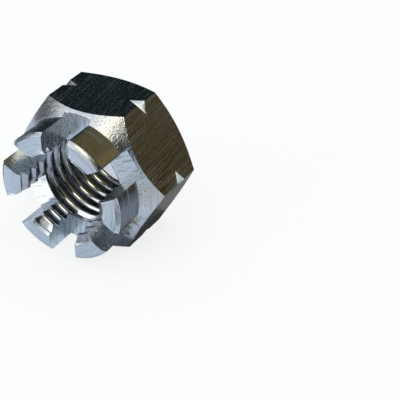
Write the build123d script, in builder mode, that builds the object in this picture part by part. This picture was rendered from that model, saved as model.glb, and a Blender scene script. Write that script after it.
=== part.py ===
"""Castle nut: a hexagon nut with a turned, slotted crown for a split pin.

Millimetres. The nut lies on one of its flats, as it comes to rest: +Z is up, the thread axis runs
along Y, the crown points to -Y and the bearing face to +Y. The origin is under the middle of the
nut, on the flat that it lies on. Heights are measured from the bearing face along the thread axis.
"""

from build123d import *

import math
import os

# Thread: its fine turns are not cut here, so the bore has the thread's minor diameter
thread_diameter = 16.0
thread_pitch = 2.0
minor_diameter_step = 1.0825

# Hexagon body
across_flats = 24.0
nut_height = 19.0

# Bearing end: a thin washer face and a turned chamfer that rounds off the corners
washer_face_inset = 0.5
washer_face_height = 0.3
bearing_chamfer_angle = 30.0

# Crown: it stands on a conical shoulder, which is turned off the hexagon's corners
crown_inset = 1.0
crown_height = 5.65
crown_chamfer = 0.55
shoulder_angle = 45.0

# Slots: one through the middle of each flat
slot_count = 6
slot_width = 4.8
slot_depth = 6.3

# Marking groove: a V turned round the nut that only reaches the corners
groove_height = 5.75
groove_depth = 0.9
groove_width = 2.0

# Countersinks at the ends of the thread, wider than its major diameter
countersink_angle = 120.0
crown_countersink_margin = 0.4
bearing_countersink_margin = 0.7

# The turned profiles run past the hexagon's corners by this much
turning_clearance = 1.0

# Radii and heights that follow from the sizes above
thread_radius = thread_diameter / 2
bore_radius = (thread_diameter - minor_diameter_step * thread_pitch) / 2
flat_radius = across_flats / 2
corner_radius = flat_radius / math.cos(math.pi / 6)
turning_radius = corner_radius + turning_clearance
washer_face_radius = flat_radius - washer_face_inset
crown_radius = flat_radius - crown_inset
crown_root = nut_height - crown_height
slot_floor = nut_height - slot_depth

bearing_plane = Plane(
    origin=(0, nut_height / 2, flat_radius),
    x_dir=(1, 0, 0),
    z_dir=(0, -1, 0),
)
section_plane = Plane(origin=bearing_plane.origin, x_dir=(1, 0, 0), z_dir=(0, 0, -1))
thread_axis = Axis(bearing_plane.origin, bearing_plane.z_dir)


with BuildPart() as castle_nut:
    # Hexagon bar, cut to the nut's height
    with BuildSketch(bearing_plane):
        RegularPolygon(radius=flat_radius, side_count=6, major_radius=False)
    extrude(amount=nut_height)

    # Turned outline: washer face, bearing chamfer, shoulder, crown and the crown's end chamfer
    bearing_chamfer_rise = (turning_radius - washer_face_radius) * math.tan(
        math.radians(bearing_chamfer_angle)
    )
    shoulder_drop = (turning_radius - crown_radius) * math.tan(math.radians(shoulder_angle))
    with BuildSketch(section_plane):
        with BuildLine():
            Polyline(
                (0, 0),
                (washer_face_radius, 0),
                (washer_face_radius, washer_face_height),
                (turning_radius, washer_face_height + bearing_chamfer_rise),
                (turning_radius, crown_root - shoulder_drop),
                (crown_radius, crown_root),
                (crown_radius, nut_height - crown_chamfer),
                (crown_radius - crown_chamfer, nut_height),
                (0, nut_height),
                close=True,
            )
        make_face()
    revolve(axis=thread_axis, mode=Mode.INTERSECT)

    # V groove across the six corners
    groove_mouth = groove_width / 2 * (groove_depth + turning_clearance) / groove_depth
    with BuildSketch(section_plane):
        with BuildLine():
            Polyline(
                (corner_radius - groove_depth, groove_height),
                (turning_radius, groove_height - groove_mouth),
                (turning_radius, groove_height + groove_mouth),
                close=True,
            )
        make_face()
    revolve(axis=thread_axis, mode=Mode.SUBTRACT)

    # Bore, countersunk at both ends
    with Locations(bearing_plane.offset(nut_height)):
        CounterSinkHole(
            radius=bore_radius,
            counter_sink_radius=thread_radius + crown_countersink_margin,
            counter_sink_angle=countersink_angle,
        )
    with Locations(Plane(origin=bearing_plane.origin, z_dir=-bearing_plane.z_dir)):
        CounterSinkHole(
            radius=bore_radius,
            counter_sink_radius=thread_radius + bearing_countersink_margin,
            counter_sink_angle=countersink_angle,
        )

    # Slots with flat floors, each from the axis out through the middle of a flat
    with BuildSketch(bearing_plane.offset(slot_floor)):
        with PolarLocations(turning_radius / 2, slot_count, start_angle=180 / slot_count):
            Rectangle(turning_radius, slot_width)
    extrude(amount=slot_depth, mode=Mode.SUBTRACT)

castle_nut.part.label = "castle_nut"

os.makedirs("parts", exist_ok=True)
export_step(castle_nut.part, "parts/castle_nut.step")
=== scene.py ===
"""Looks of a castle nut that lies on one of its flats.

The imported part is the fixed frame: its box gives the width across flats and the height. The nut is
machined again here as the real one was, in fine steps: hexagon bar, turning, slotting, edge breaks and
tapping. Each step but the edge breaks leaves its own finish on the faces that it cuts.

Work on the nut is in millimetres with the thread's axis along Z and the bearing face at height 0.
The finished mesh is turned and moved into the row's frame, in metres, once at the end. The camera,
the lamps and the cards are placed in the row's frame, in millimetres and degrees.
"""

import logging
import math
from dataclasses import dataclass
from enum import Enum

import bmesh
import bpy
from mathutils import Matrix, Vector

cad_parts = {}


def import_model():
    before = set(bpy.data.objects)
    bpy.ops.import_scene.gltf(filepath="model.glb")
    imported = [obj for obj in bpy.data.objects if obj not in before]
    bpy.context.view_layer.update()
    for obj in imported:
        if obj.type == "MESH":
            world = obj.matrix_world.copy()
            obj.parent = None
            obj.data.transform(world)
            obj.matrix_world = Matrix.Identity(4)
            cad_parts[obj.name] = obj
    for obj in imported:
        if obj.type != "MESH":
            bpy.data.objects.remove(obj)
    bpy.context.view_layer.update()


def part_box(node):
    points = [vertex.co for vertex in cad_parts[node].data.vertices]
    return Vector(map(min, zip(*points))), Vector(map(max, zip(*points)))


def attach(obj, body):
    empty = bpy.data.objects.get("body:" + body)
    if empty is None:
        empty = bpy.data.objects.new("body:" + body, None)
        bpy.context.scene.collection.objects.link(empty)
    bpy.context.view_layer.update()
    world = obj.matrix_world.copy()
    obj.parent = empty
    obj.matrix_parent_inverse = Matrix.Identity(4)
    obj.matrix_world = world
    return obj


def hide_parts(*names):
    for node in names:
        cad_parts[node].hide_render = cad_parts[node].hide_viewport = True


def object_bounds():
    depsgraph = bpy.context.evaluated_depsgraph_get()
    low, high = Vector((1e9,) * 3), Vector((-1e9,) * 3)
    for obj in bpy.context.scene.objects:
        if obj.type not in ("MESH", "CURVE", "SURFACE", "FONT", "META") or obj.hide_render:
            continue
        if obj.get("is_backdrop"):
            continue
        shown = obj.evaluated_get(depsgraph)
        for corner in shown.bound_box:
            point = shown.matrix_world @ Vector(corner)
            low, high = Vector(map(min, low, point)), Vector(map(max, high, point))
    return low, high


LOG = logging.getLogger("castle_nut")
MM = 0.001
NODE = "castle_nut"
BODY = "root"

# half of the angle that one of the six flats spans
HALF_SIDE = math.pi / 6
# a Mix node's inputs, by number because it has several of each name
FACTOR = 0
NUMBER_A, NUMBER_B = 2, 3
COLOUR_A, COLOUR_B = 6, 7
# noise of scale 1 has spots about half a unit wide
NOISE_SPOT = 0.5
# takes the part along the thread's axis out of a place
ACROSS_AXIS = (1, 0, 1)
WHITE = "ffffff"


class Cut(Enum):
    """How a face was made. The value is its material slot on the mesh."""

    DRAWN = 0
    TURNED = 1
    MILLED = 2
    TAPPED = 3
    SHOULDER = 4


class Operation(Enum):
    """What a cutting form does to the work. The value is the modifier's word for it."""

    KEEP_INSIDE = "INTERSECT"
    REMOVE = "DIFFERENCE"


@dataclass(frozen=True)
class NutSizes:
    """Sizes of the nut in millimetres and degrees.

    Heights run from the bearing face along the thread. minor_diameter_step and root_flat are shares
    of the pitch, as the standard thread has them. thread_start_angle turns the helix to where the
    photograph shows its grooves.
    """

    across_flats: float
    height: float
    thread_diameter: float = 16.0
    pitch: float = 2.0
    minor_diameter_step: float = 1.0825
    root_flat: float = 0.125
    thread_flank_angle: float = 30.0
    thread_start_angle: float = 155.0
    washer_face_inset: float = 0.5
    washer_face_height: float = 0.3
    bearing_chamfer_angle: float = 30.0
    crown_inset: float = 1.0
    crown_height: float = 5.65
    crown_chamfer: float = 0.55
    shoulder_angle: float = 45.0
    slot_count: int = 6
    slot_width: float = 4.8
    slot_depth: float = 6.3
    groove_height: float = 5.75
    groove_depth: float = 0.9
    groove_width: float = 2.0
    countersink_angle: float = 120.0
    crown_countersink_margin: float = 0.4
    bearing_countersink_margin: float = 0.7
    crest_break: float = 0.06
    edge_break: float = 0.1
    turning_clearance: float = 1.0

    @property
    def flat_radius(self) -> float:
        """Distance from the axis to a flat."""
        return self.across_flats / 2

    @property
    def corner_radius(self) -> float:
        """Distance from the axis to a corner."""
        return self.flat_radius / math.cos(HALF_SIDE)

    @property
    def turning_radius(self) -> float:
        """How far the turned outline runs past the corners."""
        return self.corner_radius + self.turning_clearance

    @property
    def bore_radius(self) -> float:
        """Radius at the thread's crests, its minor diameter."""
        return (self.thread_diameter - self.minor_diameter_step * self.pitch) / 2

    @property
    def root_radius(self) -> float:
        """Radius at the thread's roots, its major diameter."""
        return self.thread_diameter / 2

    @property
    def crown_radius(self) -> float:
        """Radius of the turned crown."""
        return self.flat_radius - self.crown_inset

    @property
    def crown_root(self) -> float:
        """Height at which the crown leaves the shoulder."""
        return self.height - self.crown_height


class CastleNut:
    """The nut, machined in steps from a hexagon bar.

    SPIN_STEPS and THREAD_STEPS are for a full turn. The angles, in degrees, are the least turn of an
    edge that is broken, that is kept crisp, and that is kept crisp on the thread.
    """

    SPIN_STEPS = 240
    THREAD_STEPS = 120
    BREAK_STEPS = 2
    # turns of the thread's groove before the bearing face and past the crown
    RUN_IN_TURNS = 2
    RUN_OUT_TURNS = 1
    BREAK_ANGLE = 25
    CREASE_ANGLE = 30
    THREAD_CREASE_ANGLE = 8
    # the slotting block's length and height, as times of what it cuts
    CUTTER_SPARE = 2
    # full weight on large faces, so that flats shade flat up to their broken edges
    FLAT_WEIGHT = 100
    ON_SURFACE_MM = 0.02
    MERGE_MM = 0.004
    WELD_MM = 0.001

    def __init__(self, sizes: NutSizes) -> None:
        """Keeps the sizes.

        Args:
            sizes: the nut's sizes.
        """
        self.sizes = sizes

    def new_object(self, name: str, mesh: bmesh.types.BMesh, cut: Cut) -> bpy.types.Object:
        """Makes an object from a bmesh, with one finish on all its faces.

        Args:
            name: the object's name.
            mesh: the shape, which is freed.
            cut: how its faces are made.

        Returns:
            The object, linked to the scene.
        """
        for face in mesh.faces:
            face.material_index = cut.value
        bmesh.ops.recalc_face_normals(mesh, faces=mesh.faces)
        made = link_mesh(name, mesh)
        for _ in Cut:
            made.data.materials.append(None)
        return made

    def hexagon_bar(self) -> bpy.types.Object:
        """Makes the bar that the nut is cut from, a little too long, with a corner at each end of X.

        Returns:
            The bar as an object.
        """
        s = self.sizes
        mesh = bmesh.new()
        bmesh.ops.create_cone(
            mesh,
            cap_ends=True,
            segments=6,
            radius1=s.corner_radius,
            radius2=s.corner_radius,
            depth=s.height + 2 * s.turning_clearance,
            matrix=Matrix.Translation((0, 0, s.height / 2)) @ Matrix.Rotation(HALF_SIDE, 4, "Z"),
        )
        return self.new_object(NODE, mesh, Cut.DRAWN)

    def outline(self) -> list[tuple[float, float]]:
        """Gives the turned half section, bore and marking groove included.

        Returns:
            Its corners in order, as pairs of radius and height.
        """
        s = self.sizes
        sink = math.tan(math.radians(s.countersink_angle / 2))
        bearing_mouth = s.root_radius + s.bearing_countersink_margin
        crown_mouth = s.root_radius + s.crown_countersink_margin
        washer_face = s.flat_radius - s.washer_face_inset
        rise = (s.turning_radius - washer_face) * math.tan(math.radians(s.bearing_chamfer_angle))
        drop = (s.turning_radius - s.crown_radius) * math.tan(math.radians(s.shoulder_angle))
        groove = s.groove_width / 2 * (s.groove_depth + s.turning_clearance) / s.groove_depth
        return [
            (s.bore_radius, (bearing_mouth - s.bore_radius) / sink),
            (bearing_mouth, 0),
            (washer_face, 0),
            (washer_face, s.washer_face_height),
            (s.turning_radius, s.washer_face_height + rise),
            (s.turning_radius, s.groove_height - groove),
            (s.corner_radius - s.groove_depth, s.groove_height),
            (s.turning_radius, s.groove_height + groove),
            (s.turning_radius, s.crown_root - drop),
            (s.crown_radius, s.crown_root),
            (s.crown_radius, s.height - s.crown_chamfer),
            (s.crown_radius - s.crown_chamfer, s.height),
            (crown_mouth, s.height),
            (s.bore_radius, s.height - (crown_mouth - s.bore_radius) / sink),
        ]

    def turned_blank(self) -> bpy.types.Object:
        """Spins the outline once round the axis.

        Returns:
            The turned ring as an object.
        """
        mesh = bmesh.new()
        bmesh.ops.spin(
            mesh,
            geom=closed_loop(mesh, self.outline()),
            cent=(0, 0, 0),
            axis=(0, 0, 1),
            angle=2 * math.pi,
            steps=self.SPIN_STEPS,
            use_merge=True,
        )
        blank = self.new_object("turned_blank", mesh, Cut.TURNED)
        slope = math.tan(math.radians(self.sizes.shoulder_angle))
        for face in blank.data.polygons:
            drop = (math.hypot(face.center.x, face.center.y) - self.sizes.crown_radius) * slope
            off = abs(self.sizes.crown_root - drop - face.center.z)
            if drop > 0 and off < self.ON_SURFACE_MM:
                face.material_index = Cut.SHOULDER.value
        return blank

    def slot_cutter(self, turn: float) -> bpy.types.Object:
        """Makes the block that a slotting cutter sweeps through two opposite slots.

        Args:
            turn: angle of the slot from X, in radians.

        Returns:
            The block as an object.
        """
        s = self.sizes
        mesh = bmesh.new()
        bmesh.ops.create_cube(mesh, size=1)
        long, deep = self.CUTTER_SPARE * 2 * s.turning_radius, self.CUTTER_SPARE * s.slot_depth
        block = (long, s.slot_width, deep)
        bmesh.ops.scale(mesh, vec=block, verts=mesh.verts)
        place = Matrix.Translation((0, 0, s.height)) @ Matrix.Rotation(turn, 4, "Z")
        bmesh.ops.transform(mesh, matrix=place, verts=mesh.verts)
        return self.new_object("slot_cutter", mesh, Cut.MILLED)

    def tap(self) -> bpy.types.Object:
        """Makes the tap's cutting form: one thread groove, swept along the right-hand helix.

        The groove widens a little where it leaves the bore, so that the thread's crests have broken
        edges, and its bottom is rounded, as a tap leaves them.

        Returns:
            The swept form as an object.
        """
        s = self.sizes
        flank = math.tan(math.radians(s.thread_flank_angle))
        tip = s.root_flat * s.pitch / 2
        round_off = tip / 2
        mouth = tip + (s.root_radius - s.bore_radius) * flank
        half = [
            (s.bore_radius - s.crest_break, mouth + 2 * s.crest_break),
            (s.bore_radius + s.crest_break / 2, mouth + s.crest_break / 2),
            (s.bore_radius + 2 * s.crest_break, mouth - 2 * s.crest_break * flank),
            (s.root_radius - round_off, tip + round_off * flank),
            (s.root_radius, tip / 2),
        ]
        section = [(radius, -width) for radius, width in half] + half[::-1]
        mesh = bmesh.new()
        bmesh.ops.spin(
            mesh,
            geom=closed_loop(mesh, section),
            cent=(0, 0, 0),
            axis=(0, 0, 1),
            dvec=(0, 0, s.pitch / self.THREAD_STEPS),
            angle=2 * math.pi,
            steps=self.THREAD_STEPS,
        )
        turn = list(mesh.verts) + list(mesh.edges) + list(mesh.faces)
        turns = self.RUN_IN_TURNS + math.ceil(s.height / s.pitch) + self.RUN_OUT_TURNS
        for index in range(1, turns):
            copied = bmesh.ops.duplicate(mesh, geom=turn)["geom"]
            moved = [item for item in copied if isinstance(item, bmesh.types.BMVert)]
            bmesh.ops.translate(mesh, vec=(0, 0, index * s.pitch), verts=moved)
        bmesh.ops.remove_doubles(mesh, verts=mesh.verts, dist=self.WELD_MM)
        ends = [edge for edge in mesh.edges if edge.is_boundary]
        bmesh.ops.holes_fill(mesh, edges=ends, sides=len(section))
        start = Matrix.Rotation(math.radians(s.thread_start_angle), 4, "Z")
        lower = Matrix.Translation((0, 0, -self.RUN_IN_TURNS * s.pitch))
        bmesh.ops.transform(mesh, matrix=start @ lower, verts=mesh.verts)
        return self.new_object("tap", mesh, Cut.TAPPED)

    def machine(self, work: bpy.types.Object, tool: bpy.types.Object, does: Operation) -> None:
        """Cuts the work with a tool and scraps the tool.

        Args:
            work: the nut so far.
            tool: the cutting form.
            does: what the tool does to the work.
        """
        cut = work.modifiers.new(tool.name, "BOOLEAN")
        cut.operation = does.value
        cut.object = tool
        cut.solver = "MANIFOLD"
        self.apply_modifiers(work)
        bpy.data.objects.remove(tool)

    @staticmethod
    def apply_modifiers(work: bpy.types.Object) -> None:
        """Makes the modifiers' result the object's own mesh.

        Args:
            work: the object.
        """
        graph = bpy.context.evaluated_depsgraph_get()
        data = bpy.data.meshes.new_from_object(work.evaluated_get(graph))
        work.modifiers.clear()
        work.data = data

    def clean(self, work: bpy.types.Object) -> None:
        """Merges points that the cuts left almost on top of each other.

        Args:
            work: the nut so far.
        """
        mesh = bmesh.new()
        mesh.from_mesh(work.data)
        bmesh.ops.remove_doubles(mesh, verts=mesh.verts, dist=self.MERGE_MM)
        bmesh.ops.dissolve_degenerate(mesh, dist=self.MERGE_MM, edges=mesh.edges)
        mesh.to_mesh(work.data)
        mesh.free()

    def break_edges(self, work: bpy.types.Object) -> None:
        """Takes the sharpness off the edges, as deburring and plating do.

        Args:
            work: the nut before it is tapped.
        """
        self.clean(work)
        bevel = work.modifiers.new("edge_break", "BEVEL")
        bevel.width = self.sizes.edge_break
        bevel.segments = self.BREAK_STEPS
        bevel.limit_method = "ANGLE"
        bevel.angle_limit = math.radians(self.BREAK_ANGLE)
        bevel.use_clamp_overlap = True
        self.apply_modifiers(work)

    def shade(self, work: bpy.types.Object) -> None:
        """Shades the broken edges softly and keeps flats flat and the thread's flanks crisp.

        Args:
            work: the finished nut.
        """
        work.data.shade_smooth()
        work.data.set_sharp_from_angle(angle=math.radians(self.CREASE_ANGLE))
        mesh = bmesh.new()
        mesh.from_mesh(work.data)
        for edge in mesh.edges:
            tapped = all(face.material_index == Cut.TAPPED.value for face in edge.link_faces)
            if tapped and edge.calc_face_angle(0) > math.radians(self.THREAD_CREASE_ANGLE):
                edge.smooth = False
        mesh.to_mesh(work.data)
        mesh.free()
        flatten = work.modifiers.new("even_shading", "WEIGHTED_NORMAL")
        flatten.keep_sharp = True
        flatten.weight = self.FLAT_WEIGHT
        self.apply_modifiers(work)

    def build(self) -> bpy.types.Object:
        """Machines the nut and lays it on its flat in the row's frame.

        Returns:
            The finished nut.
        """
        s = self.sizes
        work = self.hexagon_bar()
        self.machine(work, self.turned_blank(), Operation.KEEP_INSIDE)
        for index in range(s.slot_count // 2):
            turn = math.pi / s.slot_count + index * 2 * math.pi / s.slot_count
            self.machine(work, self.slot_cutter(turn), Operation.REMOVE)
        LOG.info("blank: %d faces", len(work.data.polygons))
        self.break_edges(work)
        LOG.info("edges broken: %d faces", len(work.data.polygons))
        self.machine(work, self.tap(), Operation.REMOVE)
        self.clean(work)
        LOG.info("tapped: %d faces", len(work.data.polygons))
        turned_over = Matrix.Rotation(math.pi / 2, 4, "X")
        lie = Matrix.Translation((0, s.height / 2, s.flat_radius)) @ turned_over
        work.data.transform(Matrix.Scale(MM, 4) @ lie)
        self.shade(work)
        return work


def closed_loop(
    mesh: bmesh.types.BMesh, section: list[tuple[float, float]]
) -> list[bmesh.types.BMVert | bmesh.types.BMEdge]:
    """Draws a closed section in the plane of X and Z, ready to be spun.

    Args:
        mesh: the mesh that it is drawn in.
        section: its corners in order, as pairs of radius and height.

    Returns:
        Its vertices and edges.
    """
    corners = [mesh.verts.new((radius, 0, height)) for radius, height in section]
    return corners + [mesh.edges.new(pair) for pair in zip(corners, corners[1:] + corners[:1])]


def link_mesh(name: str, mesh: bmesh.types.BMesh) -> bpy.types.Object:
    """Puts a bmesh into the scene as an object at the origin.

    Args:
        name: the name of the object and of its mesh.
        mesh: the shape, which is freed.

    Returns:
        The object.
    """
    data = bpy.data.meshes.new(name)
    mesh.to_mesh(data)
    mesh.free()
    made = bpy.data.objects.new(name, data)
    bpy.context.scene.collection.objects.link(made)
    return made


def hex_to_linear(code: str) -> tuple[float, float, float, float]:
    """Turns an sRGB hex value into linear colour, by the sRGB curve.

    Args:
        code: six hex digits, such as "c0c4c8".

    Returns:
        Red, green, blue and an alpha of 1.
    """
    values = [int(code[i : i + 2], 16) / 255 for i in (0, 2, 4)]
    linear = [v / 12.92 if v <= 0.04045 else ((v + 0.055) / 1.055) ** 2.4 for v in values]
    return (*linear, 1.0)


def output(node: bpy.types.Node) -> bpy.types.NodeSocket:
    """Gives a node's first output that is in use."""
    return next(socket for socket in node.outputs if socket.enabled)


def add(
    tree: bpy.types.NodeTree, kind: str, inputs: dict[str | int, object], **settings: object
) -> bpy.types.Node:
    """Adds a node, sets it, and fills or links its inputs.

    Args:
        tree: the node tree.
        kind: the node's type.
        inputs: what goes into each input, by name or number: a value, a node or its socket.
        settings: the node's own settings.

    Returns:
        The node.
    """
    node = tree.nodes.new(kind)
    for name, value in settings.items():
        setattr(node, name, value)
    for key, value in inputs.items():
        source = output(value) if isinstance(value, bpy.types.Node) else value
        if isinstance(source, bpy.types.NodeSocket):
            tree.links.new(source, node.inputs[key])
        else:
            node.inputs[key].default_value = source
    return node


@dataclass(frozen=True)
class ZincFinish:
    """Bright zinc plating on steel, over what one way of cutting left.

    The clear-passivated zinc layer is thin, so the marks of the tool show through it. Where it is
    scratched it is matt and catches light from all round. The bottoms of the marks and of the grain
    are painted darker, a painted shade in their hollows. The grain is the fine unevenness of the
    plating. The clouds are patches of a warmer tone.

    Sizes are across the marks, the grain and the clouds. Each pair of levels says where in a noise
    that runs from 0 to 1 something begins and where it is full. A share says how full that is.
    """

    name: str
    roughness: float
    base: str = "c6cdd4"
    cloud: str = "cdcdc9"
    cloud_mm: float = 4.0
    cloud_levels: tuple[float, float] = (0.4, 0.65)
    cloud_share: float = 0.5
    mark_mm: float = 0.25
    mark_detail: float = 3.0
    mark_depth_mm: float = 0.01
    scratch_roughness: float = 0.5
    scratch_levels: tuple[float, float] = (0.53, 0.63)
    scratch_share: float = 1.0
    # colour of the painted shade at the bottoms of the marks and the grain
    groove_shade: str = "55585a"
    groove_shade_levels: tuple[float, float] = (0.48, 0.36)
    groove_shade_share: float = 0.35
    patch_levels: tuple[float, float] = (0.4, 0.6)
    patch_least: float = 0.5
    grain_mm: float = 0.2
    grain_detail: float = 2.0
    grain_depth_mm: float = 0.004
    speck_levels: tuple[float, float] = (0.52, 0.72)
    speck_share: float = 0.4
    # where the grain is low it gets the painted shade too
    grain_shade_levels: tuple[float, float] = (0.44, 0.28)
    grain_shade_share: float = 0.3

    def marks(self, tree: bpy.types.NodeTree, place: bpy.types.Node) -> bpy.types.Node:
        """Bends the coordinates so that noise read there looks like the tool's marks.

        Args:
            tree: the node tree.
            place: gives the place on the nut in millimetres, with Y on the thread's axis.

        Returns:
            The node that gives the bent coordinates, in millimetres across the marks.
        """
        raise NotImplementedError

    def grain_place(self, tree: bpy.types.NodeTree, place: bpy.types.Node) -> bpy.types.Node:
        """Gives the coordinates of the grain: the place itself, so it is alike in every direction.

        Args:
            tree: the node tree, not used here.
            place: gives the place on the nut in millimetres.

        Returns:
            The node that gives the coordinates in millimetres.
        """
        return place

    def from_axis(self, tree: bpy.types.NodeTree, place: bpy.types.Node) -> bpy.types.Node:
        """Measures how far a place is from the thread's axis.

        Args:
            tree: the node tree.
            place: gives the place on the nut in millimetres.

        Returns:
            The node that gives the distance.
        """
        across = add(tree, "ShaderNodeVectorMath", {0: place, 1: ACROSS_AXIS}, operation="MULTIPLY")
        return add(tree, "ShaderNodeVectorMath", {0: across}, operation="LENGTH")

    def build(self, axis_height_mm: float) -> bpy.types.Material:
        """Makes the material.

        Args:
            axis_height_mm: how high the thread's axis lies.

        Returns:
            The material.
        """
        material = bpy.data.materials.new(self.name)
        material.use_nodes = True
        tree = material.node_tree
        texture = add(tree, "ShaderNodeTexCoord", {})
        centre = {"Scale": (1 / MM, 1 / MM, 1 / MM), "Location": (0, 0, -axis_height_mm)}
        place = add(tree, "ShaderNodeMapping", {"Vector": texture.outputs["Object"], **centre})

        noises = {
            "marks": (self.marks(tree, place), self.mark_mm, self.mark_detail),
            "grain": (self.grain_place(tree, place), self.grain_mm, self.grain_detail),
            "cloud": (place, self.cloud_mm, self.grain_detail),
        }
        noise = {}
        for name, (where, size, detail) in noises.items():
            look = {"Vector": where, "Scale": NOISE_SPOT / size, "Detail": detail}
            noise[name] = add(tree, "ShaderNodeTexNoise", look)

        amounts = {
            "clouds": ("cloud", self.cloud_levels, (0, self.cloud_share)),
            "patches": ("cloud", self.patch_levels, (self.patch_least, 1)),
            "grooves": ("marks", self.groove_shade_levels, (0, self.groove_shade_share)),
            "grain_shade": ("grain", self.grain_shade_levels, (0, self.grain_shade_share)),
            "scratches": ("marks", self.scratch_levels, (0, self.scratch_share)),
            "specks": ("grain", self.speck_levels, (0, self.speck_share)),
        }
        amount = {}
        for name, (source, (begins, full), (least, most)) in amounts.items():
            ends = {"From Min": begins, "From Max": full, "To Min": least, "To Max": most}
            amount[name] = add(tree, "ShaderNodeMapRange", {"Value": noise[source], **ends})

        # the marks of the tool are strong in some patches and faint in others
        for name in ("grooves", "scratches"):
            patchy = {0: amount[name], 1: amount["patches"]}
            amount[name] = add(tree, "ShaderNodeMath", patchy, operation="MULTIPLY")

        plating = {
            FACTOR: amount["clouds"],
            COLOUR_A: hex_to_linear(self.base),
            COLOUR_B: hex_to_linear(self.cloud),
        }
        sound = add(tree, "ShaderNodeMix", plating, data_type="RGBA")
        # painted shade: the bottoms of the marks and of the grain are darkened
        hollows = {0: amount["grooves"], 1: amount["grain_shade"]}
        painted_shade = add(tree, "ShaderNodeMath", hollows, operation="MAXIMUM")
        shaded = {FACTOR: painted_shade, COLOUR_A: sound, COLOUR_B: hex_to_linear(self.groove_shade)}
        colour = add(tree, "ShaderNodeMix", shaded, data_type="RGBA")

        worst = {0: amount["scratches"], 1: amount["specks"]}
        wear = add(tree, "ShaderNodeMath", worst, operation="MAXIMUM")
        matt = {"Value": wear, "To Min": self.roughness, "To Max": self.scratch_roughness}
        roughness = add(tree, "ShaderNodeMapRange", matt)

        uneven = {0: noise["grain"], 1: self.grain_depth_mm}
        deep = add(tree, "ShaderNodeMath", uneven, operation="MULTIPLY")
        relief = {0: noise["marks"], 1: self.mark_depth_mm, 2: deep}
        height = add(tree, "ShaderNodeMath", relief, operation="MULTIPLY_ADD")
        bump = add(tree, "ShaderNodeBump", {"Height": height, "Distance": MM})

        shader = tree.nodes["Principled BSDF"]
        shader.inputs["Metallic"].default_value = 1.0
        tree.links.new(output(colour), shader.inputs["Base Color"])
        tree.links.new(output(roughness), shader.inputs["Roughness"])
        tree.links.new(output(bump), shader.inputs["Normal"])
        return material


@dataclass(frozen=True)
class DrawnFlat(ZincFinish):
    """Flats of the cold-drawn bar: streaks that run nearly along the bar, under the plating.

    The lengths are in widths of a streak and of a handling scratch. The handling scratches cross the
    streaks at handling_angle, in degrees about handling_axis. twist_mm is the length of bar in which
    the streaks turn by one radian, as they do on a straightened bar.
    """

    streak_length: float = 45.0
    twist_mm: float = 150.0
    handling_length: float = 6.0
    handling_angle: float = 50.0
    handling_axis: tuple[float, float, float] = (0.5, 0.0, 0.87)

    def marks(self, tree: bpy.types.NodeTree, place: bpy.types.Node) -> bpy.types.Node:
        """Stretches the marks along the bar, with the slight twist of a straightened bar.

        Args:
            tree: the node tree.
            place: gives the place on the nut in millimetres.

        Returns:
            The node that gives the stretched coordinates.
        """
        along = add(tree, "ShaderNodeSeparateXYZ", {"Vector": place}).outputs["Y"]
        twist = {0: along, 1: 1 / self.twist_mm}
        angle = add(tree, "ShaderNodeMath", twist, operation="MULTIPLY")
        turn = {"Vector": place, "Angle": angle}
        turned = add(tree, "ShaderNodeVectorRotate", turn, rotation_type="Y_AXIS")
        stretch = {0: turned, 1: (1, 1 / self.streak_length, 1)}
        return add(tree, "ShaderNodeVectorMath", stretch, operation="MULTIPLY")

    def grain_place(self, tree: bpy.types.NodeTree, place: bpy.types.Node) -> bpy.types.Node:
        """Stretches the grain across the streaks: the short scratches that handling leaves.

        Args:
            tree: the node tree.
            place: gives the place on the nut in millimetres.

        Returns:
            The node that gives the coordinates, in millimetres across the scratches.
        """
        angle = -math.radians(self.handling_angle)
        turn = {"Vector": place, "Axis": self.handling_axis, "Angle": angle}
        turned = add(tree, "ShaderNodeVectorRotate", turn, rotation_type="AXIS_ANGLE")
        stretch = {0: turned, 1: (1, 1 / self.handling_length, 1)}
        return add(tree, "ShaderNodeVectorMath", stretch, operation="MULTIPLY")


@dataclass(frozen=True)
class TurnedFace(ZincFinish):
    """Turned faces: rings round the axis, which break up and shift a little as they go round."""

    wander: float = 0.05

    def marks(self, tree: bpy.types.NodeTree, place: bpy.types.Node) -> bpy.types.Node:
        """Bends the marks into rings.

        Args:
            tree: the node tree.
            place: gives the place on the nut in millimetres.

        Returns:
            The node that gives radius and height, with a little of the place added.
        """
        along = add(tree, "ShaderNodeSeparateXYZ", {"Vector": place}).outputs["Y"]
        ring = {"X": self.from_axis(tree, place), "Y": along}
        rings = add(tree, "ShaderNodeCombineXYZ", ring)
        shift = {0: place, 1: (self.wander, self.wander, self.wander), 2: rings}
        return add(tree, "ShaderNodeVectorMath", shift, operation="MULTIPLY_ADD")


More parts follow.
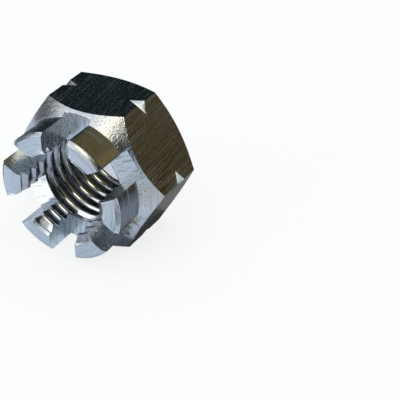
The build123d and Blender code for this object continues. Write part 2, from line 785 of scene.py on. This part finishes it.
@dataclass(frozen=True)
class SawnSlot(ZincFinish):
    """Slots cut with a slotting saw: marks along each slot that waver, different in every slot.

    run is a mark's length in widths. The marks waver by waver_mm, in spots of waver_run_mm.
    """

    run: float = 6.0
    waver_mm: float = 0.5
    waver_run_mm: float = 1.5
    slot_count: int = 6

    def marks(self, tree: bpy.types.NodeTree, place: bpy.types.Node) -> bpy.types.Node:
        """Turns the marks along the slot that a place lies in.

        Args:
            tree: the node tree.
            place: gives the place on the nut in millimetres.

        Returns:
            The node that gives the distance along the slot, shortened, and across it, with each
            slot moved elsewhere.
        """
        half = math.pi / self.slot_count
        parts = add(tree, "ShaderNodeSeparateXYZ", {"Vector": place}).outputs
        radius = self.from_axis(tree, place)
        steps = {
            "angle": ("ARCTAN2", {0: parts["Z"], 1: parts["X"]}),
            "turned": ("SUBTRACT", {0: "angle", 1: half}),
            "local": ("WRAP", {0: "turned", 1: half, 2: -half}),
            "which": ("SUBTRACT", {0: "turned", 1: "local"}),
            "cosine": ("COSINE", {0: "local"}),
            "sine": ("SINE", {0: "local"}),
            "along": ("MULTIPLY", {0: radius, 1: "cosine"}),
            "aside": ("MULTIPLY", {0: radius, 1: "sine"}),
            "shortened": ("MULTIPLY_ADD", {0: "along", 1: 1 / self.run, 2: "which"}),
        }
        made = {}
        for name, (operation, inputs) in steps.items():
            filled = {k: made[v] if isinstance(v, str) else v for k, v in inputs.items()}
            made[name] = add(tree, "ShaderNodeMath", filled, operation=operation)
        spots = {"Vector": place, "Scale": NOISE_SPOT / self.waver_run_mm, "Detail": self.grain_detail}
        waver = add(tree, "ShaderNodeTexNoise", spots)
        shift = {0: waver, 1: self.waver_mm, 2: made["aside"]}
        shifted = add(tree, "ShaderNodeMath", shift, operation="MULTIPLY_ADD")
        bent = {"X": made["shortened"], "Y": shifted, "Z": parts["Y"]}
        return add(tree, "ShaderNodeCombineXYZ", bent)


@dataclass(frozen=True)
class TappedThread(ZincFinish):
    """Thread cut by a tap: smooth, bright flanks with fine lines that follow the helix."""

    pitch: float = 2.0

    def marks(self, tree: bpy.types.NodeTree, place: bpy.types.Node) -> bpy.types.Node:
        """Bends the marks along the right-hand helix.

        Args:
            tree: the node tree.
            place: gives the place on the nut in millimetres.

        Returns:
            The node that gives radius and the place across the thread, which repeats with the pitch.
        """
        parts = add(tree, "ShaderNodeSeparateXYZ", {"Vector": place}).outputs
        angle = add(tree, "ShaderNodeMath", {0: parts["Z"], 1: parts["X"]}, operation="ARCTAN2")
        helix = {0: angle, 1: self.pitch / (2 * math.pi), 2: parts["Y"]}
        climb = add(tree, "ShaderNodeMath", helix, operation="MULTIPLY_ADD")
        thread = add(tree, "ShaderNodeMath", {0: climb, 1: self.pitch, 2: 0.0}, operation="WRAP")
        line = {"X": self.from_axis(tree, place), "Y": thread}
        return add(tree, "ShaderNodeCombineXYZ", line)


# In each finish the darkest colour and its shares paint shade into the bottoms of the marks and the
# grain.
FINISHES = {
    # Cold-drawn steel under bright zinc: the smoothest face, so it mirrors dark surroundings, and
    # long streaks and short scratches glint across it. The real ones are about 0.02 mm wide, too
    # fine to show, so they are drawn 0.12 mm wide.
    Cut.DRAWN: DrawnFlat(
        "zinc_plated_steel_drawn",
        roughness=0.18,
        base="b2b5b6",
        cloud="b8b6ae",
        mark_mm=0.12,
        mark_depth_mm=0.012,
        scratch_roughness=0.6,
        groove_shade="2e3030",
        groove_shade_share=0.75,
        grain_mm=0.12,
        grain_depth_mm=0.01,
        speck_share=0.5,
        grain_shade_share=0.5,
    ),
    # Turned steel under bright zinc: bright, with broken rings and a faint sparkle. The real rings
    # lie about 0.1 mm apart, too fine to show, so they are drawn 0.25 mm wide.
    Cut.TURNED: TurnedFace(
        "zinc_plated_steel_turned",
        roughness=0.16,
        mark_depth_mm=0.012,
        groove_shade_share=0.25,
        grain_depth_mm=0.016,
        grain_shade_share=0.25,
    ),
    # Sawn steel under bright zinc: the deepest marks, which break reflections into short streaks.
    # They are drawn 0.22 mm wide, about twice the real ones.
    Cut.MILLED: SawnSlot(
        "zinc_plated_steel_sawn",
        roughness=0.2,
        base="c7cdd2",
        mark_mm=0.22,
        mark_depth_mm=0.03,
        scratch_share=0.6,
        groove_shade_share=0.6,
    ),
    # Tapped steel under bright zinc: glossy flanks with hard highlights and faint lines. The lines
    # are drawn 0.25 mm wide, several times the real ones.
    Cut.TAPPED: TappedThread(
        "zinc_plated_steel_tapped",
        roughness=0.1,
        base="b2b7bc",
        cloud="b8b6b0",
        mark_depth_mm=0.006,
        scratch_roughness=0.25,
    ),
    # Steel turned with a wide form tool, under bright zinc: shallow rings and a coarse, frosted
    # grain, which spreads the highlight and makes its rim sparkle.
    Cut.SHOULDER: TurnedFace(
        "zinc_plated_steel_shoulder",
        roughness=0.2,
        base="cdd3d9",
        mark_depth_mm=0.006,
        scratch_roughness=0.35,
        grain_mm=0.15,
        grain_depth_mm=0.045,
        grain_shade_share=0.6,
    ),
}


def direction(azimuth: float, elevation: float) -> Vector:
    """Turns two angles into a direction away from the nut.

    Args:
        azimuth: degrees from the crown's side, -Y, towards +X.
        elevation: degrees above the floor.

    Returns:
        The unit vector.
    """
    turn, rise = math.radians(azimuth), math.radians(elevation)
    level = math.cos(rise)
    return Vector((math.sin(turn) * level, -math.cos(turn) * level, math.sin(rise)))


@dataclass(frozen=True)
class Camera:
    """The photograph's view, as fitted to the nut's corners. It looks against its direction."""

    location_mm: tuple[float, float, float] = (95.995, -131.649, 114.111)
    azimuth: float = 30.17
    elevation: float = 33.68
    roll: float = -0.24
    focal_px: float = 1210.61
    image_px: int = 400
    sensor_mm: float = 36.0
    sight_m: tuple[float, float] = (0.01, 10.0)

    def build(self) -> bpy.types.Object:
        """Makes the camera and sets it as the scene's.

        Returns:
            The camera object.
        """
        data = bpy.data.cameras.new("camera")
        data.sensor_width = self.sensor_mm
        data.lens = self.focal_px / self.image_px * self.sensor_mm
        data.clip_start, data.clip_end = self.sight_m
        made = bpy.data.objects.new("camera", data)
        back = -direction(self.azimuth, self.elevation)
        turn = back.to_track_quat("-Z", "Y").to_matrix().to_4x4()
        place = Matrix.Translation(Vector(self.location_mm) * MM)
        made.matrix_world = place @ turn @ Matrix.Rotation(math.radians(self.roll), 4, "Z")
        bpy.context.scene.collection.objects.link(made)
        bpy.context.scene.camera = made
        return made


@dataclass(frozen=True)
class Lamp:
    """A round soft lamp that points at the nut. Its face has the radiance that is given."""

    name: str
    azimuth: float
    elevation: float
    colour: str
    radiance: float
    diameter_mm: float
    distance_mm: float = 500.0

    def build(self) -> bpy.types.Object:
        """Makes the lamp.

        Returns:
            The lamp object.
        """
        data = bpy.data.lights.new(self.name, "AREA")
        data.shape = "DISK"
        data.size = self.diameter_mm * MM
        data.color = hex_to_linear(self.colour)[:3]
        # power is radiance times pi times the face's area
        data.energy = self.radiance * math.pi * math.pi * (data.size / 2) ** 2
        made = bpy.data.objects.new(self.name, data)
        away = direction(self.azimuth, self.elevation)
        place = Matrix.Translation(away * self.distance_mm * MM)
        made.matrix_world = place @ away.to_track_quat("Z", "Y").to_matrix().to_4x4()
        bpy.context.scene.collection.objects.link(made)
        return made


@dataclass(frozen=True)
class Card:
    """A curved card round the nut that glows in its colour, a painted reflection for the metal, placed
    as a photographer sets up cards.

    Only reflections see it: it takes no light from the nut and throws no shadow. Its azimuths are in
    degrees, as in direction, and so are its steps along them.
    """

    name: str
    colour: str
    azimuths: tuple[float, float]
    span: tuple[float, float]
    strength: float = 1.0
    step: float = 5.0

    def profile(self) -> list[Vector]:
        """Gives the card's edge, which is swept through the azimuths.

        Returns:
            Points in millimetres.
        """
        raise NotImplementedError

    def material(self) -> bpy.types.Material:
        """Makes the card's paper, which glows in its colour whatever falls on it: it is no lamp, only
        a painted reflection.

        Returns:
            The material.
        """
        paper = bpy.data.materials.new(self.name)
        paper.use_nodes = True
        tree = paper.node_tree
        tree.nodes.clear()
        shade = {"Color": hex_to_linear(self.colour), "Strength": self.strength}
        glow = add(tree, "ShaderNodeEmission", shade)
        add(tree, "ShaderNodeOutputMaterial", {"Surface": glow})
        return paper

    def build(self) -> bpy.types.Object:
        """Makes the card.

        Returns:
            The card object.
        """
        mesh = bmesh.new()
        corners = [mesh.verts.new(point * MM) for point in self.profile()]
        edges = [mesh.edges.new(pair) for pair in zip(corners, corners[1:])]
        width = self.azimuths[1] - self.azimuths[0]
        bmesh.ops.spin(
            mesh,
            geom=corners + edges,
            cent=(0, 0, 0),
            axis=(0, 0, 1),
            angle=math.radians(width),
            steps=max(1, round(width / self.step)),
        )
        made = link_mesh(self.name, mesh)
        made.data.materials.append(self.material())
        made.visible_camera = False
        made.visible_diffuse = False
        made.visible_shadow = False
        made.visible_transmission = False
        made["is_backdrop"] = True
        return made


@dataclass(frozen=True)
class Flag(Card):
    """A card that stands round the nut. Its span is in degrees above the floor."""

    distance_mm: float = 300.0

    def profile(self) -> list[Vector]:
        """Gives the card's edge, from its foot to its top.

        Returns:
            Points in millimetres.
        """
        low, high = self.span
        count = max(1, round((high - low) / self.step))
        rises = [low + (high - low) * index / count for index in range(count + 1)]
        return [direction(self.azimuths[0], rise) * self.distance_mm for rise in rises]


@dataclass(frozen=True)
class FloorMat(Card):
    """A card that lies on the floor. Its span is in millimetres from under the nut's middle."""

    lift_mm: float = 0.1

    def profile(self) -> list[Vector]:
        """Gives the mat's edge, from near to far.

        Returns:
            Points in millimetres.
        """
        away = direction(self.azimuths[0], 0)
        return [away * distance + Vector((0, 0, self.lift_mm)) for distance in self.span]


@dataclass(frozen=True)
class Studio:
    """White floor and white surroundings, three soft lamps, and the glowing cards that only the metal
    mirrors: painted reflections.

    The glows are the shares of its colour that the floor shows whatever falls on it. The eye sees the
    floor nearly white. Behind the nut a round soft painted shadow lowers that glow and tints the paper
    bluish grey, so that the shade that shows through the bore isn't washed out. It is full in its
    middle, down to shade_core of the way from its rim.
    """

    floor_mm: float = 3000.0
    floor_colour: str = WHITE
    floor_glow: float = 0.8
    mirrored_colour: str = "e6f1ff"
    mirrored_glow: float = 0.1
    # colour of the painted shadow behind the nut
    painted_shade_colour: str = "d8dce6"
    shade_glow: float = 0.35
    shade_place_mm: tuple[float, float] = (-8.6, 15.6)
    shade_radius_mm: float = 16.0
    shade_core: float = 0.8
    world_light: str = "f0f4fc"
    world_light_strength: float = 0.95
    lamps: tuple[Lamp, ...] = (
        Lamp("key", 14, 49, "fff1c8", radiance=2.2, diameter_mm=170),
        Lamp("top", 60, 68, "fff0c8", radiance=0.9, diameter_mm=150),
        Lamp("window", -30, 17, "fafcff", radiance=1.9, diameter_mm=300),
    )
    cards: tuple[Card, ...] = (
        # in front, for the shoulder, the crown's end and the thread
        Flag("front_dark", "262625", (22, 66), (26, 57), distance_mm=120),
        Flag("front_dark_low", "262625", (25, 41), (2, 26), distance_mm=120),
        Flag("front_light", "b6c2cf", (41, 66), (2, 26), distance_mm=120),
        Flag("front_grey", "aaacaa", (-22, -4), (20, 32), distance_mm=120),
        Flag("front_black", "262828", (-4, 25), (0, 22), distance_mm=120),
        # at the left, for the slots' walls and the thread
        Flag("left_light", "b4bac4", (-70, -50), (0, 14)),
        Flag("left_grey", "6e7276", (-100, -70), (0, 30)),
        # behind and at the right, for the flats and the crown's outside
        Flag("back_left", "222f35", (195, 260), (-8, 74)),
        Flag("back_right", "62563c", (60, 195), (-6, 21)),
        Flag("back_grey", "565a5a", (60, 195), (21, 30)),
        Flag("back_gold", "867544", (130, 152), (30, 40)),
        Flag("back_brown", "6a5f3e", (152, 195), (30, 66)),
        Flag("back_right_top", "645e4e", (66, 152), (40, 60)),
        Flag("right_brown", "646050", (60, 130), (30, 40)),
        Flag("back_top", "4e5048", (100, 200), (60, 84), distance_mm=310),
        # on the floor at the right, for the lower flat, the groove and the right prong: the dark mats
        # close to the nut are a painted shadow of it on the floor, which only the metal sees, and the
        # notch's bright mat is a painted highlight
        FloorMat("painted_shade_under", "50565c", (35, 78), (4, 8.8)),
        FloorMat("painted_contact_shadow", "3c3d3b", (78, 165), (6.5, 12.5)),
        FloorMat("mat_near", "7d7f7e", (80, 158), (12.5, 26)),
        FloorMat("mat_middle", "656564", (98, 155), (26, 40)),
        FloorMat("mat_far", "474643", (98, 150), (40, 300)),
        FloorMat("mat_prong", "828a9e", (98, 126), (15, 29), lift_mm=0.2),
        FloorMat("mat_prong_far", "6a7080", (98, 126), (29, 44), lift_mm=0.2),
        FloorMat("mat_notch", "f6f8f2", (80, 98), (28, 54), strength=1.1),
        # on the floor in front and at the left, for the slots, the shoulder and the thread: painted
        # reflections of lighter and darker floor, and for one slot a painted highlight brighter than
        # white
        FloorMat("mat_front", "a3a7ae", (4, 24), (20, 33)),
        FloorMat("mat_wall", "34383c", (33, 45), (26, 46)),
        FloorMat("mat_rim", "9aa4b0", (45, 60), (24, 70)),
        FloorMat("mat_side", "dadee2", (60, 78), (24, 70)),
        FloorMat("mat_left", "616a76", (-102, -66), (10, 42)),
        FloorMat("mat_left_far", "a8b2bf", (-62, -40), (45, 110)),
        FloorMat("mat_crown", "d8e8fc", (-40, 0), (4, 12)),
        FloorMat("mat_slot", "fffdf8", (20, 33), (33, 60), strength=1.25),
        FloorMat("mat_thread", "80868a", (8, 20), (33, 60)),
        FloorMat("mat_thread_far", "4a5054", (8, 20), (60, 300)),
        # on the floor behind, a dark painted reflection, and a white one brighter than white, a
        # painted highlight for the slot at the left
        FloorMat("mat_back", "4c5654", (195, 236), (20, 300)),
        FloorMat("painted_highlight", WHITE, (-63, -43), (14, 24), strength=2.2),
    )

    def floor_paper(self) -> bpy.types.Material:
        """Makes the floor's white paper.

        Only the eye sees its glow, which keeps the nut's shadow pale. The metal and the light see
        paper that is nearly all lit, a little blue.

        Returns:
            The material.
        """
        paper = bpy.data.materials.new("floor_paper")
        paper.use_nodes = True
        tree = paper.node_tree
        tree.nodes.clear()
        eye = add(tree, "ShaderNodeLightPath", {}).outputs["Is Camera Ray"]
        texture = add(tree, "ShaderNodeTexCoord", {})
        # painted shadow: round a place behind the nut the paper glows less and is tinted bluish grey
        shrink = 1 / self.shade_radius_mm
        centre = {
            "Scale": (shrink / MM, shrink / MM, shrink / MM),
            "Location": (-self.shade_place_mm[0] * shrink, -self.shade_place_mm[1] * shrink, 0),
        }
        spot = add(tree, "ShaderNodeMapping", {"Vector": texture.outputs["Object"], **centre})
        ball = add(tree, "ShaderNodeTexGradient", {"Vector": spot}, gradient_type="SPHERICAL")
        soft = {"Value": ball.outputs["Fac"], "From Max": self.shade_core}
        shade = add(tree, "ShaderNodeMapRange", soft, interpolation_type="SMOOTHSTEP")
        seen_colours = {
            FACTOR: shade,
            COLOUR_A: hex_to_linear(self.floor_colour),
            COLOUR_B: hex_to_linear(self.painted_shade_colour),
        }
        seen_colour = add(tree, "ShaderNodeMix", seen_colours, data_type="RGBA")
        seen_glows = {FACTOR: shade, NUMBER_A: self.floor_glow, NUMBER_B: self.shade_glow}
        seen_glow = add(tree, "ShaderNodeMix", seen_glows, data_type="FLOAT")
        mirrored = hex_to_linear(self.mirrored_colour)
        colours = {FACTOR: eye, COLOUR_A: mirrored, COLOUR_B: seen_colour}
        colour = add(tree, "ShaderNodeMix", colours, data_type="RGBA")
        glows = {FACTOR: eye, NUMBER_A: self.mirrored_glow, NUMBER_B: seen_glow}
        glow = add(tree, "ShaderNodeMix", glows, data_type="FLOAT")
        matt = add(tree, "ShaderNodeBsdfDiffuse", {"Color": colour})
        bright = add(tree, "ShaderNodeEmission", {"Color": colour, "Strength": 1.0})
        both = add(tree, "ShaderNodeMixShader", {0: glow, 1: matt, 2: bright})
        add(tree, "ShaderNodeOutputMaterial", {"Surface": both})
        return paper

    def floor(self) -> bpy.types.Object:
        """Makes the floor.

        Returns:
            The floor object.
        """
        mesh = bmesh.new()
        bmesh.ops.create_grid(mesh, size=self.floor_mm * MM / 2)
        made = link_mesh("floor", mesh)
        made.data.materials.append(self.floor_paper())
        made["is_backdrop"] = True
        return made

    def world(self) -> None:
        """Makes the surroundings: white to the eye, in metal and in glass, a little less as light."""
        world = bpy.data.worlds.new("surroundings")
        bpy.context.scene.world = world
        world.use_nodes = True
        tree = world.node_tree
        tree.nodes.clear()
        light = {"Color": hex_to_linear(self.world_light), "Strength": self.world_light_strength}
        lit = add(tree, "ShaderNodeBackground", light)
        white = {"Color": hex_to_linear(WHITE), "Strength": 1.0}
        seen = add(tree, "ShaderNodeBackground", white)
        rays = add(tree, "ShaderNodeLightPath", {}).outputs
        looks = {0: rays["Is Camera Ray"], 1: rays["Is Glossy Ray"]}
        mirrored = add(tree, "ShaderNodeMath", looks, operation="MAXIMUM")
        through = {0: mirrored, 1: rays["Is Transmission Ray"]}
        shown = add(tree, "ShaderNodeMath", through, operation="MAXIMUM")
        both = add(tree, "ShaderNodeMixShader", {0: shown, 1: lit, 2: seen})
        add(tree, "ShaderNodeOutputWorld", {"Surface": both})

    def build(self) -> None:
        """Sets up the studio."""
        self.world()
        self.floor()
        for piece in self.lamps + self.cards:
            piece.build()
        LOG.info("studio: %d lamps and %d cards", len(self.lamps), len(self.cards))


def main() -> None:
    """Builds the nut, its finishes and the studio, and reports each."""
    logging.basicConfig(level=logging.INFO, format="%(name)s: %(message)s")
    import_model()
    low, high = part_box(NODE)
    sizes = NutSizes(across_flats=(high.z - low.z) / MM, height=(high.y - low.y) / MM)
    nut = CastleNut(sizes).build()
    nut.name = "nut"
    for cut, finish in FINISHES.items():
        nut.data.materials[cut.value] = finish.build(sizes.flat_radius)
        LOG.info("finish: %s", finish.name)
    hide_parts(NODE)
    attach(nut, BODY)
    Studio().build()
    Camera().build()
    bpy.context.scene.view_settings.view_transform = "Standard"
    low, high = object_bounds()


if __name__ == "__main__":
    main()
